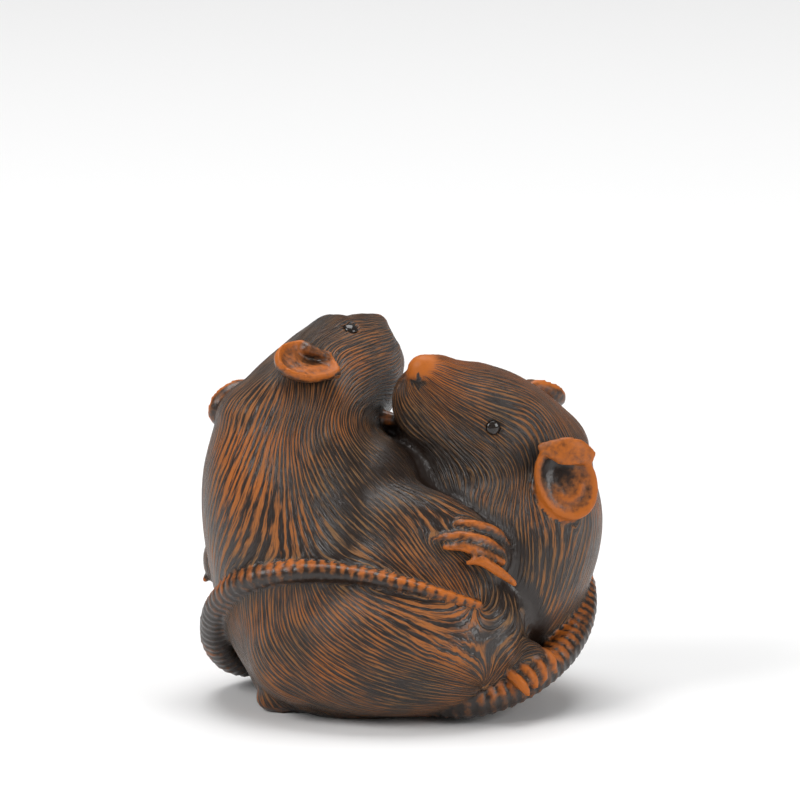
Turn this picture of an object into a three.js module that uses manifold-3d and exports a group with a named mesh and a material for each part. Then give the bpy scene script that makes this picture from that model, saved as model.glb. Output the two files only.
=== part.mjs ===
// A netsuke carved in stained wood as two plump rats curled nose to nose, each with its tail laid
// over the other's haunch, and four beads of dark horn let into the heads as eyes.
// Millimetres, +Z up, +X to the right and +Y away from the viewer. The origin is on the resting
// surface under the middle of the carving. The second rat is carved like the first one turned half
// round about Z, with its own head, hands and tail.
import * as THREE from "three";
import { mergeVertices } from "three/addons/utils/BufferGeometryUtils.js";
import Module from "manifold-3d";

const wasm = await Module();
wasm.setup();

// Driving dimensions, in each rat's own frame.
const OVERALL = { width: 40, height: 39 };
const LEFT = [-1, 0, 0];
const FRONT = [0, -1, 0];
const UP = [0, 0, 1];
const ALONG_X = [1, 0, 0];

// Where each neck ends and each head sits: the head's base between the ears, the tip of its nose and
// which way its crown faces.
const NECKS = { first: [-11.5, -0.5, 29.5], second: [-12.5, -1.8, 24.6] };
const HEADS = {
  first: { base: [-11.6, -0.5, 29.6], nose: [-3.3, 8.6, 35.7], crown: [-0.57, 0.01, 0.82] },
  second: { base: [-13.4, -2.0, 25.2], nose: [-3.2, 3.1, 33.9], crown: [-0.63, 0.24, 0.72] },
};

// Sections of a head from nape to nose: the share of the way from base to nose, the half-width,
// and how high the crown and how low the jaw lie.
const HEAD_SECTIONS = [
  { share: -0.12, across: 6.6, crown: 4.8, jaw: -7.2 },
  { share: 0.1, across: 6.8, crown: 5.0, jaw: -7.7 },
  { share: 0.36, across: 6.4, crown: 4.9, jaw: -7.9 },
  { share: 0.58, across: 5.5, crown: 4.4, jaw: -7.7 },
  { share: 0.78, across: 4.5, crown: 3.9, jaw: -7.0 },
  { share: 0.92, across: 3.4, crown: 3.2, jaw: -5.7 },
  { share: 1.04, across: 2.3, crown: 2.3, jaw: -3.4 },
  { share: 1.11, across: 1.4, crown: 1.4, jaw: -1.6 },
];

// An ear's half-sizes, the rim left round its bowl and the way it leans out of the head, and each
// ear's seat ahead, aside and above the base.
const EAR = { long: 4.0, wide: 3.1, thick: 1.3, rim: 0.7, scoop: 0.95 };
const EAR_LEAN = { splay: 0.25, faceAhead: 0.3, faceUp: 0.5 };
const EARS = {
  first: { right: { seat: [1.0, 6.7, 3.4], rise: 0.85 }, left: { seat: [-0.2, -5.5, 2.3], rise: 0.5 } },
  second: { right: { seat: [0.4, 7.0, 1.0], rise: 0.3 }, left: { seat: [-0.3, -8.0, 2.8], rise: -0.1 } },
};

// An eye bead on its peg, and how far along the head and round it from level, in radians, eyes sit.
const EYE = { radius: 0.65, peg: 1.4, dome: 0.4, gap: 0.25, lean: 0.25, sides: 10, domeSteps: 3 };
const EYES = { first: { share: 0.72, round: 0.72 }, second: { share: 0.545, round: 0.5 } };

// The trunk's sections between rump and neck, by their share of the way from hips to neck.
const RUMP = { at: [-8.0, -2.0, 4.8], across: 8.6, deep: 7.4, back: [-1, 0, -0.4] };
const HIPS = [-9.4, -2.0, 10.5];
const TRUNK = [
  { share: 0, across: 10.8, deep: 8.8 },
  { share: 0.4, across: 10.6, deep: 9.5 },
  { share: 0.72, across: 9.4, deep: 8.9 },
  { share: 1, across: 6.8, deep: 7.0 },
];

// Rounded forms that fill the trunk's hollow side and carry it: their middles and half-sizes.
const FORMS = {
  chest: { at: [-3.4, -2.0, 20.5], size: [7.0, 7.5, 7.0], detail: [12, 8] },
  flank: { at: [0.5, -5.6, 15.0], size: [9.8, 7.6, 7.0], detail: [14, 8] },
  belly: { at: [-1.0, -3.0, 8.0], size: [9.0, 9.0, 9.0], detail: [12, 8] },
  tuckedFoot: { at: [-11.8, -5.6, 1.3], size: [2.8, 2.2, 1.7], detail: [9, 6] },
  seat: { at: [-4.0, -7.4, 1.2], size: [6.5, 3.2, 1.7], detail: [10, 6] },
};

// The folded thigh from hip to knee, the arm from shoulder to wrist and the instep of the hind foot.
const HAUNCH = [
  { at: [-10, -8.0, 7.6], across: 6.4, deep: 6.2 },
  { at: [-3, -9.2, 8.0], across: 7.6, deep: 7.4 },
  { at: [4, -9.0, 8.2], across: 7.6, deep: 7.0 },
  { at: [8, -7.8, 8.5], across: 6.4, deep: 5.8 },
];
const ARM = [
  { at: [-8, -4.0, 20], across: 5.0, deep: 4.8 },
  { at: [0, -7.3, 19.4], across: 4.4, deep: 4.2 },
  { at: [4.5, -8.4, 18.4], across: 3.8, deep: 3.4 },
];
const WRIST = { across: 3.0, deep: 3.0 };
const INSTEP = [
  { at: [5.5, -11.5, 4.4], across: 2.4, deep: 2.2 },
  { at: [13.0, -8.8, 6.0], across: 2.0, deep: 1.8 },
];

// Hands laid on the other rat: the wrist, and the first digit's knuckle and claw.
const HANDS = {
  first: { wrist: [8.4, -8.4, 16.4], knuckle: [4.2, -11.9, 19.8], claw: [10.2, -9.8, 17.9] },
  second: { wrist: [13.0, -8.6, 15.4], knuckle: [14.0, -8.6, 16.2], claw: [18.8, -2.2, 15.0] },
};
const HAND = { digits: 4, thick: 0.78, hump: [0.3, -0.9, 0.4] };
const HAND_PITCH = { knuckle: [0.35, -0.25, -1.2], claw: [0.35, -0.4, -1.25] };

// The second rat's other hand, on the first one's chest.
const CHEST_HAND = { knuckle: [-1.5, -0.6, 27.2], claw: [3.2, -0.4, 28.8] };
const CHEST_DIGITS = { digits: 3, thick: 0.78, hump: [0, 0, 0.5] };
const CHEST_PITCH = { knuckle: [-0.3, -0.6, -0.9], claw: [-0.5, -0.9, -1.1] };
const CHEST_ARM = { elbow: [-7, 3.5, 20], thick: 3.2, wrist: 1.9 };

const FOOT = { knuckle: [10.3, -11.2, 5.5], claw: [12.7, -12.0, 2.9] };
const TOES = { digits: 4, thick: 0.88, hump: [0.9, -0.7, 0.4] };
const FOOT_PITCH = { knuckle: [1.3, 1.0, 0.5], claw: [0.9, 1.3, 0.5] };
const CLAW_TAPER = 0.5;

// Tails: thickness at root and tip, the ribs round them, and the way each one runs.
const TAIL = { thick: 2.1, thin: 0.5, taper: 1.2, sides: 6, back: [0.2, 0.1, 1] };
const RIB = { spacing: 2.0, pinch: 0.16 };
const TAILS = {
  first: [
    [3, -10, 2.4], [7.5, -11.2, 2.5], [12.3, -9.2, 3.8], [16.2, -5.2, 6], [18.2, 0, 8.6], [18.2, 5, 11],
    [16.5, 8.7, 13], [13, 11.7, 14.8], [8.5, 12.7, 15.6], [3, 13.2, 15.4], [-3, 14.0, 14.3],
    [-7.8, 13.6, 12.7],
  ],
  second: [
    [-6, 10, 2.2], [-12, 8, 2.2], [-16.2, 4.5, 2.8], [-18.2, 1, 5.2], [-18.5, -3, 8.8], [-17.4, -7, 12.0],
    [-14.7, -10.7, 14.6], [-10, -12.6, 15.8], [-5, -12.8, 15.6], [0, -13.9, 14.9], [4, -14.1, 13.9],
    [7.8, -13.6, 12.7],
  ],
};

const vector = (p) => new THREE.Vector3(...p);
const curveThrough = (points) => new THREE.CatmullRomCurve3(points, false, "catmullrom", 0.5);

// One section of a body or limb: where its middle lies, its half-width from side to side, its
// half-depth from back to belly, and which way the back faces.
const section = (at, across, deep, back) => ({ at: vector(at), across, deep, back: vector(back) });
const limb = (rows) => rows.map(({ at, across, deep }) => section(at, across, deep, FRONT));

// The ring of a row of sections at the share t of the way along it.
function ringsThrough(sections) {
  const path = curveThrough(sections.map((s) => s.at));
  const sizes = curveThrough(sections.map((s) => new THREE.Vector3(s.across, s.deep, 0)));
  const backs = curveThrough(sections.map((s) => s.back));
  return (t) => {
    const along = path.getTangent(t);
    const back = backs.getPoint(t).projectOnPlane(along).normalize();
    const side = new THREE.Vector3().crossVectors(along, back);
    const { x: across, y: deep } = sizes.getPoint(t);
    return { middle: path.getPoint(t), along, back, side, across, deep };
  };
}

function pointOn(ring, angle, shrink = 1, shift = 0) {
  return ring.middle
    .clone()
    .addScaledVector(ring.along, shift)
    .addScaledVector(ring.side, Math.cos(angle) * ring.across * shrink)
    .addScaledVector(ring.back, Math.sin(angle) * ring.deep * shrink);
}

// A closed skin through a row of oval sections, with a rounded dome on both ends.
function loft(sections, { sides, steps, domes = [1, 1], domeRings = 3 }) {
  const ringAt = ringsThrough(sections);
  const positions = [];
  const addRing = (ring, shrink = 1, shift = 0) => {
    for (let k = 0; k < sides; k++) {
      const angle = (2 * Math.PI * k) / sides;
      positions.push(...pointOn(ring, angle, shrink, shift));
    }
  };
  const [first, last] = [ringAt(0), ringAt(1)];
  const firstDome = -domes[0] * Math.min(first.across, first.deep);
  const lastDome = domes[1] * Math.min(last.across, last.deep);
  for (let j = domeRings - 1; j > 0; j--) {
    const angle = (Math.PI / 2) * (j / domeRings);
    addRing(first, Math.cos(angle), firstDome * Math.sin(angle));
  }
  for (let i = 0; i <= steps; i++) addRing(ringAt(i / steps));
  for (let j = 1; j < domeRings; j++) {
    const angle = (Math.PI / 2) * (j / domeRings);
    addRing(last, Math.cos(angle), lastDome * Math.sin(angle));
  }
  const rings = positions.length / 3 / sides;
  positions.push(...pointOn(first, 0, 0, firstDome), ...pointOn(last, 0, 0, lastDome));
  const [firstTip, lastTip] = [rings * sides, rings * sides + 1];
  const faces = [];
  for (let k = 0; k < sides; k++) {
    const next = (k + 1) % sides;
    faces.push(firstTip, k, next);
    faces.push(lastTip, (rings - 1) * sides + next, (rings - 1) * sides + k);
    for (let i = 0; i < rings - 1; i++) {
      const [a, b] = [i * sides + k, i * sides + next];
      faces.push(a, b + sides, b, a, a + sides, b + sides);
    }
  }
  return new THREE.BufferGeometry()
    .setAttribute("position", new THREE.BufferAttribute(new Float32Array(positions), 3))
    .setIndex(faces);
}

// A geometry as a solid that can be joined and cut.
function solidOf(geometry) {
  const bare = geometry.clone();
  bare.deleteAttribute("normal");
  bare.deleteAttribute("uv");
  const merged = mergeVertices(bare, 1e-4);
  return new wasm.Manifold(
    new wasm.Mesh({
      numProp: 3,
      vertProperties: merged.attributes.position.array,
      triVerts: new Uint32Array(merged.index.array),
    }),
  );
}

function geometryOf(solid) {
  const mesh = solid.getMesh();
  return new THREE.BufferGeometry()
    .setAttribute("position", new THREE.BufferAttribute(mesh.vertProperties, 3))
    .setIndex(new THREE.BufferAttribute(mesh.triVerts, 1));
}

const joined = (solids) => solids.reduce((whole, next) => whole.add(next));
const turned = (solid) => solid.rotate([0, 0, 180]);

// A ball squeezed to three half-sizes, its length and its face set along the given directions.
function egg(at, halfSizes, length, face, detail) {
  const x = vector(length).normalize();
  const z = vector(face).projectOnPlane(x).normalize();
  const y = new THREE.Vector3().crossVectors(z, x);
  const place = new THREE.Matrix4().makeBasis(x, y, z).setPosition(vector(at));
  return new THREE.SphereGeometry(1, ...detail).scale(...halfSizes).applyMatrix4(place);
}

function headFrame({ base, nose, crown }) {
  const start = vector(base);
  const forward = vector(nose).sub(start);
  const length = forward.length();
  forward.normalize();
  const up = vector(crown).projectOnPlane(forward).normalize();
  const right = new THREE.Vector3().crossVectors(forward, up);
  const point = (ahead, aside, above) =>
    start.clone().addScaledVector(forward, ahead).addScaledVector(right, aside).addScaledVector(up, above);
  const direction = (ahead, aside, above) => point(ahead, aside, above).sub(start).normalize();
  return { length, up, point, direction };
}

const headSections = (frame) =>
  HEAD_SECTIONS.map(({ share, across, crown, jaw }) =>
    section(frame.point(share * frame.length, 0, (crown + jaw) / 2), across, (crown - jaw) / 2, frame.up),
  );

const HEAD_LOFT = { sides: 16, steps: 9, domes: [0.8, 0.8], domeRings: 2 };
const head = (frame) => solidOf(loft(headSections(frame), HEAD_LOFT));

// An ear: a flat egg hollowed from its front so that a rim stands round a shallow bowl.
function ear(frame, { seat, rise }) {
  const at = frame.point(...seat);
  const outward = Math.sign(seat[1]);
  const length = frame.direction(-1, EAR_LEAN.splay * outward, rise);
  const face = frame.direction(EAR_LEAN.faceAhead, outward, EAR_LEAN.faceUp);
  const shell = solidOf(egg(at, [EAR.long, EAR.wide, EAR.thick], length, face, [12, 7]));
  const bowl = at.clone().addScaledVector(face, EAR.scoop);
  const inner = [EAR.long - EAR.rim, EAR.wide - EAR.rim, EAR.thick];
  return shell.subtract(solidOf(egg(bowl, inner, length, face, [10, 5])));
}

// The trunk from rump to neck, with the forms that fill its hollow side and that it sits on.
function trunk(neck) {
  const rows = TRUNK.map(({ share, across, deep }) => {
    const at = vector(HIPS).lerp(vector(neck), share);
    return section(at, across, deep, LEFT);
  });
  const rump = section(RUMP.at, RUMP.across, RUMP.deep, RUMP.back);
  const body = loft([rump, ...rows], { sides: 18, steps: 9, domes: [0.8, 0.6] });
  const forms = Object.values(FORMS).map(({ at, size, detail }) => egg(at, size, ALONG_X, UP, detail));
  return joined([body, ...forms].map(solidOf));
}

const haunch = () => solidOf(loft(limb(HAUNCH), { sides: 16, steps: 8, domes: [0.9, 0.7] }));
const arm = ({ wrist }) => solidOf(loft(limb([...ARM, { at: wrist, ...WRIST }]), { sides: 10, steps: 6 }));

// Digits side by side: each runs from its knuckle to its claw, humped in the middle.
function digits({ knuckle, claw }, pitch, { digits: count, thick, hump }) {
  const all = [];
  for (let i = 0; i < count; i++) {
    const start = vector(knuckle).addScaledVector(vector(pitch.knuckle), i);
    const end = vector(claw).addScaledVector(vector(pitch.claw), i);
    const middle = start.clone().lerp(end, 0.5).add(vector(hump));
    const sections = [
      section(start, thick, thick, UP),
      section(middle, thick, thick, UP),
      section(end, CLAW_TAPER * thick, CLAW_TAPER * thick, UP),
    ];
    all.push(solidOf(loft(sections, { sides: 5, steps: 3, domeRings: 2 })));
  }
  return joined(all);
}

const hand = (place) => digits(place, HAND_PITCH, HAND);
const instep = () => solidOf(loft(limb(INSTEP), { sides: 8, steps: 3 }));
const foot = () => instep().add(digits(FOOT, FOOT_PITCH, TOES));

function chestHand() {
  const { elbow, thick, wrist } = CHEST_ARM;
  const rows = [section(elbow, thick, thick, UP), section(CHEST_HAND.knuckle, wrist, wrist, UP)];
  const forearm = solidOf(loft(rows, { sides: 10, steps: 3 }));
  return forearm.add(digits(CHEST_HAND, CHEST_PITCH, CHEST_DIGITS));
}

// A tail: a tapering tube pinched at every rib.
function tail(route) {
  const path = curveThrough(route.map(vector));
  const ribs = Math.round(path.getLength() / RIB.spacing);
  const sections = [];
  for (let i = 0; i <= 2 * ribs; i++) {
    const share = i / (2 * ribs);
    const pinch = i % 2 ? 1 - RIB.pinch : 1;
    const radius = (TAIL.thick + (TAIL.thin - TAIL.thick) * share ** TAIL.taper) * pinch;
    sections.push(section(path.getPointAt(share), radius, radius, TAIL.back));
  }
  return solidOf(loft(sections, { sides: TAIL.sides, steps: 2 * ribs, domeRings: 2 }));
}

// The head's section at a share of the way to the nose, between the two that are listed on either side.
function headSectionAt(share) {
  const next = HEAD_SECTIONS.findIndex((s) => s.share > share);
  const [low, high] = [HEAD_SECTIONS[next - 1], HEAD_SECTIONS[next]];
  const part = (share - low.share) / (high.share - low.share);
  const between = (size) => THREE.MathUtils.lerp(low[size], high[size], part);
  const [crown, jaw] = [between("crown"), between("jaw")];
  return { across: between("across"), middle: (crown + jaw) / 2, deep: (crown - jaw) / 2 };
}

// Where an eye sits on the head's skin, and its bead and socket there.
function eyePlace(name, outward) {
  const frame = headFrame(HEADS[name]);
  const { share, round } = EYES[name];
  const { across, middle, deep } = headSectionAt(share);
  const aside = outward * Math.cos(round);
  const above = Math.sin(round);
  const at = frame.point(share * frame.length, aside * across, middle + above * deep);
  const facing = frame.direction(0, aside / across, above / deep);
  facing.addScaledVector(frame.direction(1, 0, 0), EYE.lean).normalize();
  const turn = new THREE.Quaternion().setFromUnitVectors(new THREE.Vector3(0, 1, 0), facing);
  return new THREE.Matrix4().compose(at, turn, new THREE.Vector3(1, 1, 1));
}

function eyeBead() {
  const profile = [new THREE.Vector2(0, -EYE.peg), new THREE.Vector2(EYE.radius, -EYE.peg)];
  for (let i = 0; i <= EYE.domeSteps; i++) {
    const angle = (Math.PI / 2) * (i / EYE.domeSteps);
    profile.push(new THREE.Vector2(EYE.radius * Math.cos(angle), EYE.dome * Math.sin(angle)));
  }
  return new THREE.LatheGeometry(profile, EYE.sides);
}

function eyeSocket() {
  const radius = EYE.radius + EYE.gap;
  return new THREE.CylinderGeometry(radius, radius, 2 * (EYE.peg + EYE.gap), EYE.sides);
}

function rat(name) {
  const frame = headFrame(HEADS[name]);
  const whole = joined([
    trunk(NECKS[name]),
    head(frame),
    ear(frame, EARS[name].right),
    ear(frame, EARS[name].left),
    haunch(),
    arm(HANDS[name]),
    hand(HANDS[name]),
    foot(),
  ]);
  const sockets = [1, -1].map((outward) => solidOf(eyeSocket().applyMatrix4(eyePlace(name, outward))));
  return sockets.reduce((left, socket) => left.subtract(socket), whole);
}

const groundWidth = 3 * OVERALL.width;
const groundBox = new THREE.BoxGeometry(groundWidth, groundWidth, OVERALL.height);
const ground = solidOf(groundBox.translate(0, 0, -OVERALL.height / 2));

const carving = joined([
  rat("first"),
  turned(rat("second")),
  turned(chestHand()),
  tail(TAILS.first),
  tail(TAILS.second),
]).subtract(ground);

const wood = new THREE.MeshStandardMaterial({ color: "#6b3f22", roughness: 0.45, metalness: 0 });
const horn = new THREE.MeshStandardMaterial({ color: "#0d0b0a", roughness: 0.12, metalness: 0 });

const netsuke = new THREE.Group();

function addPiece(name, geometry, material, into = netsuke) {
  const piece = new THREE.Mesh(geometry, material);
  piece.name = name;
  into.add(piece);
}

addPiece("two_rats_carving", geometryOf(carving), wood);

const secondRat = new THREE.Group();
secondRat.rotation.z = Math.PI;
netsuke.add(secondRat);
for (const [side, outward] of [["right", 1], ["left", -1]]) {
  addPiece(`first_rat_${side}_eye`, eyeBead().applyMatrix4(eyePlace("first", outward)), horn);
  addPiece(`second_rat_${side}_eye`, eyeBead().applyMatrix4(eyePlace("second", outward)), horn, secondRat);
}

export default netsuke;
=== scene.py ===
import math
from itertools import product

import bpy
import numpy as np
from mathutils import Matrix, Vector


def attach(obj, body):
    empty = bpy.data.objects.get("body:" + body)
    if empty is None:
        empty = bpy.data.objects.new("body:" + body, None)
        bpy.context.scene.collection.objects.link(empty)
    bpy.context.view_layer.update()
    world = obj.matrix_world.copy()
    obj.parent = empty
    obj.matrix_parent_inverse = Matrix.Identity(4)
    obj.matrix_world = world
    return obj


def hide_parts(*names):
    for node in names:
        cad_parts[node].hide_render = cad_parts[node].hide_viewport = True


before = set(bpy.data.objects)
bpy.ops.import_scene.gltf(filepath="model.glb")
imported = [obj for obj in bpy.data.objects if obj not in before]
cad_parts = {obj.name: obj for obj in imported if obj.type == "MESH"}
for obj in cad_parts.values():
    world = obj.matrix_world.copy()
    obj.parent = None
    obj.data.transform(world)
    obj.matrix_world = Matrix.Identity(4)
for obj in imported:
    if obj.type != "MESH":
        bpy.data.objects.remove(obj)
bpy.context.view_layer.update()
bpy.ops.object.select_all(action="DESELECT")

# The carving
# Two plump rats curled nose to nose, cut from one block of close-grained wood with the hair cut in
# line by line, then stained almost black. Handling has worn the stain back to orange wood on ears,
# digits, tails and the fullest parts of the coats. Sizes are in millimetres until it is finished.
MILLIMETRE = 0.001
FRONT, LEFT, UP = (0, -1, 0), (-1, 0, 0), (0, 0, 1)
RATS = {
    "first": {
        "turned": 0,
        "neck": (-11.5, -0.5, 29.5),
        "head": {"base": (-11.6, -0.5, 29.6), "nose": (-3.3, 8.6, 35.7), "crown": (-0.57, 0.01, 0.82)},
        "brow": 0.75,
        "nose_pad": 0.0,
        "eye": {"share": 0.72, "round": 0.72},
        "ears": [
            {"seat": (1.0, 6.6, 3.4), "rise": 0.68, "folded": False},
            {"seat": (-0.2, -5.5, 2.3), "rise": 0.5, "folded": False},
        ],
        "wrist": (8.4, -8.4, 16.4),
        "hand_back": [],
        "digits": [
            ((4.75, -10.8, 20.1), (7.0, -10.8, 20.2), (9.4, -10.0, 19.3), (10.9, -9.0, 17.7)),
            ((3.5, -11.8, 19.0), (5.9, -12.0, 19.3), (8.5, -11.4, 18.6), (10.2, -10.3, 17.3)),
            ((4.4, -12.4, 18.2), (6.25, -12.5, 18.3), (8.1, -12.2, 17.6), (10.3, -11.0, 16.4)),
            ((6.6, -12.8, 16.8), (8.1, -12.9, 16.9), (9.85, -12.3, 15.7), (11.4, -11.0, 14.2)),
        ],
        "tail": [
            (3, -10, 2.4), (7.5, -11.2, 2.5), (12.3, -9.2, 3.8), (16.2, -5.2, 6), (18.2, 0, 8.6),
            (18.2, 5, 11), (16.5, 8.7, 13), (13, 11.7, 14.8), (8.5, 12.7, 15.6), (3, 13.2, 15.4),
            (-3, 14.0, 14.3), (-7.8, 13.6, 12.7),
        ],
        "coat_root": (-11, 0, 37),
    },
    "second": {
        "turned": 180,
        "neck": (-12.5, -1.8, 24.6),
        "head": {"base": (-13.4, -2.0, 25.2), "nose": (-3.2, 3.1, 33.9), "crown": (-0.63, 0.24, 0.72)},
        "brow": -0.35,
        "nose_pad": 1.0,
        "eye": {"share": 0.545, "round": 0.5},
        "ears": [
            {"seat": (0.4, 7.0, 1.5), "rise": 0.4, "folded": False},
            {"seat": (-0.5, -8.0, 2.6), "rise": -0.5, "folded": True},
        ],
        "wrist": (13.0, -8.6, 15.4),
        "hand_back": [((18.0, -3.4, 13.4), (1.8, 2.6, 2.7))],
        "digits": [
            ((14.0, -8.6, 16.2), (16.0, -7.2, 16.4), (17.8, -4.6, 15.9), (18.9, -2.2, 15.0)),
            ((14.3, -8.8, 15.1), (16.4, -7.3, 15.3), (18.2, -4.8, 14.7), (19.2, -2.6, 13.8)),
            ((14.6, -9.0, 14.0), (16.7, -7.4, 14.1), (18.5, -5.0, 13.4), (19.5, -3.0, 12.5)),
            ((14.9, -9.2, 12.9), (17.0, -7.5, 12.8), (18.7, -5.2, 12.1), (19.7, -3.4, 11.2)),
        ],
        "tail": [
            (6, -10, 2.2), (12, -8, 2.2), (16.2, -4.5, 2.8), (18.2, -1, 5.2), (18.5, 3, 8.8),
            (17.4, 7, 12.0), (14.7, 10.7, 14.6), (10, 12.6, 15.8), (5, 12.8, 15.6), (0, 13.9, 14.9),
            (-4, 14.1, 13.9), (-7.8, 13.6, 12.7),
        ],
        "coat_root": None,
    },
}


def spine(points, shares):
    """Places and headings on the smooth curve through points, at shares of the way along it."""
    stops = np.asarray(points, float)
    stops = np.vstack([2 * stops[0] - stops[1], stops, 2 * stops[-1] - stops[-2]])
    spans = len(stops) - 3
    along = np.clip(np.asarray(shares, float), 0, 1) * spans
    span = np.minimum(along.astype(int), spans - 1)
    part = (along - span)[:, None]
    before, start, end, after = (stops[span + step] for step in range(4))
    leave, arrive = (end - before) / 2, (after - start) / 2
    bow = 3 * (end - start) - 2 * leave - arrive
    ease = 2 * (start - end) + leave + arrive
    place = start + part * leave + part**2 * bow + part**3 * ease
    heading = leave + 2 * part * bow + 3 * part**2 * ease
    return place, heading / np.linalg.norm(heading, axis=1, keepdims=True)


def oval_frames(sections, shares):
    """Middle, heading, side, back and half-sizes of the oval sections at shares of the way."""
    middle, heading = spine([section[0] for section in sections], shares)
    sizes = spine([(section[1], section[2], 0) for section in sections], shares)[0][:, :2]
    back = spine([section[3] for section in sections], shares)[0]
    back = back - heading * np.sum(back * heading, axis=1, keepdims=True)
    back /= np.linalg.norm(back, axis=1, keepdims=True)
    return middle, heading, np.cross(back, heading), back, sizes


def get_points(piece):
    points = np.empty(len(piece.data.vertices) * 3, np.float32)
    piece.data.vertices.foreach_get("co", points)
    return points.reshape(-1, 3).astype(float)


def get_normals(piece):
    normals = np.empty(len(piece.data.vertices) * 3, np.float32)
    piece.data.vertex_normals.foreach_get("vector", normals)
    return normals.reshape(-1, 3).astype(float)


def set_points(piece, points):
    piece.data.vertices.foreach_set("co", np.asarray(points, np.float32).ravel())
    piece.data.update()


def drawn_out(sections, segments, rings, domes=(1.0, 1.0), cap=0.18):
    """A ball drawn out through a row of oval sections, domed at both ends."""
    bpy.ops.mesh.primitive_uv_sphere_add(segments=segments, ring_count=rings)
    ball = bpy.context.object
    on_ball = get_points(ball)
    share = np.arcsin(np.clip(on_ball[:, 2], -1, 1)) / np.pi + 0.5
    angle = np.arctan2(on_ball[:, 1], on_ball[:, 0])
    low = np.clip((cap - share) / cap, 0, 1)
    high = np.clip((share - 1 + cap) / cap, 0, 1)
    middle, heading, side, back, sizes = oval_frames(sections, (share - cap) / (1 - 2 * cap))
    tilt = (low + high) * np.pi / 2
    reach = np.where(low > 0, -domes[0] * min(sections[0][1:3]), domes[1] * min(sections[-1][1:3]))
    shrink = np.cos(tilt)
    points = middle + heading * (np.sin(tilt) * reach)[:, None]
    points += side * (np.cos(angle) * sizes[:, 0] * shrink)[:, None]
    points += back * (np.sin(angle) * sizes[:, 1] * shrink)[:, None]
    set_points(ball, points)
    return ball


def egg(at, half_sizes, segments=48, rings=32):
    bpy.ops.mesh.primitive_uv_sphere_add(
        segments=segments, ring_count=rings, location=at, scale=half_sizes
    )
    bpy.ops.object.transform_apply(location=True, rotation=True, scale=True)
    return bpy.context.object


def turned_about(points, degrees):
    cosine, sine = math.cos(math.radians(degrees)), math.sin(math.radians(degrees))
    x, y, z = np.moveaxis(np.asarray(points, float), -1, 0)
    return np.stack([cosine * x - sine * y, sine * x + cosine * y, z], axis=-1)


def turned_sections(sections, degrees):
    return [
        (turned_about(at, degrees), across, deep, turned_about(back, degrees))
        for at, across, deep, back in sections
    ]


def joined(pieces, name):
    bpy.ops.object.select_all(action="DESELECT")
    for piece in pieces:
        piece.select_set(True)
    bpy.context.view_layer.objects.active = pieces[0]
    bpy.ops.object.join()
    bpy.context.object.name = name
    return bpy.context.object


def finish_modifier(piece, kind, **settings):
    modifier = piece.modifiers.new(kind.lower(), kind)
    for key, value in settings.items():
        setattr(modifier, key, value)
    bpy.context.view_layer.objects.active = piece
    bpy.ops.object.modifier_apply(modifier=modifier.name)


def one_skin(piece, voxel):
    finish_modifier(piece, "REMESH", mode="VOXEL", voxel_size=voxel)


def smoothed(piece, rounds):
    finish_modifier(piece, "SMOOTH", factor=0.5, iterations=rounds)


def fill_hollows(piece, passes, rounds):
    """Soft fillets: the skin is smoothed but may only move outwards."""
    for _ in range(passes):
        before, normals = get_points(piece), get_normals(piece)
        smoothed(piece, rounds)
        out = np.sum((get_points(piece) - before) * normals, axis=1, keepdims=True)
        set_points(piece, before + normals * np.maximum(out, 0))


# The masses of each rat: a head and a trunk with chest, flank and arm, filled out to one soft body,
# and the folded haunch with its foot. A section is its middle, half-width, half-depth and the way its
# back faces. A row of the head is its share of the way to the nose, half-width, crown and jaw.
HEAD = [
    (-0.12, 6.6, 4.8, -7.2), (0.1, 6.8, 5.0, -7.7), (0.36, 6.4, 4.9, -7.9), (0.58, 5.5, 4.4, -7.7),
    (0.78, 4.5, 3.9, -7.0), (0.92, 3.4, 3.5, -5.7), (1.04, 2.3, 2.65, -3.4), (1.11, 1.4, 1.4, -1.6),
]
BROW = {"share": 0.75, "reach": 0.2}
HIPS = (-9.4, -2.0, 10.5)
HAUNCH = [
    ((-10, -8.0, 7.6), 6.4, 6.2, FRONT), ((-3, -9.2, 8.0), 7.6, 7.4, FRONT),
    ((4, -9.0, 8.2), 7.6, 7.0, FRONT), ((8, -7.8, 8.5), 6.4, 5.8, FRONT),
]
INSTEP = [((5.5, -11.5, 4.4), 2.4, 2.2, FRONT), ((13.0, -8.8, 6.0), 2.0, 1.8, FRONT)]
FLANKS = [((-3.4, -2.0, 20.5), (7.0, 7.5, 7.0)), ((0.5, -5.6, 15.0), (9.8, 7.6, 7.0))]
SEAT = [
    ((-1.0, -3.0, 8.0), (9.0, 9.0, 9.0)),
    ((-11.8, -5.6, 1.3), (2.8, 2.2, 1.7)),
    ((-4.0, -7.4, 1.2), (6.5, 3.2, 1.7)),
]
VOXEL = {"body": 0.45, "both": 0.4, "skin": 0.286}
FILLET = {"passes": 3, "rounds": 60}
SOFTENED = {"both": 10, "skin": 2}


def head_axes(head):
    base, nose, crown = (np.array(head[key], float) for key in ("base", "nose", "crown"))
    length = np.linalg.norm(nose - base)
    forward = (nose - base) / length
    up = crown - forward * (crown @ forward)
    up /= np.linalg.norm(up)
    return base, length, np.stack([forward, np.cross(forward, up), up])


def head_sections(rat):
    base, length, axes = head_axes(rat["head"])
    rows = []
    for share, across, crown, jaw in HEAD:
        crown += rat["brow"] * math.exp(-(((share - BROW["share"]) / BROW["reach"]) ** 2))
        at = base + axes[0] * share * length + axes[2] * (crown + jaw) / 2
        rows.append((at, across, (crown - jaw) / 2, axes[2]))
    return rows


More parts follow.
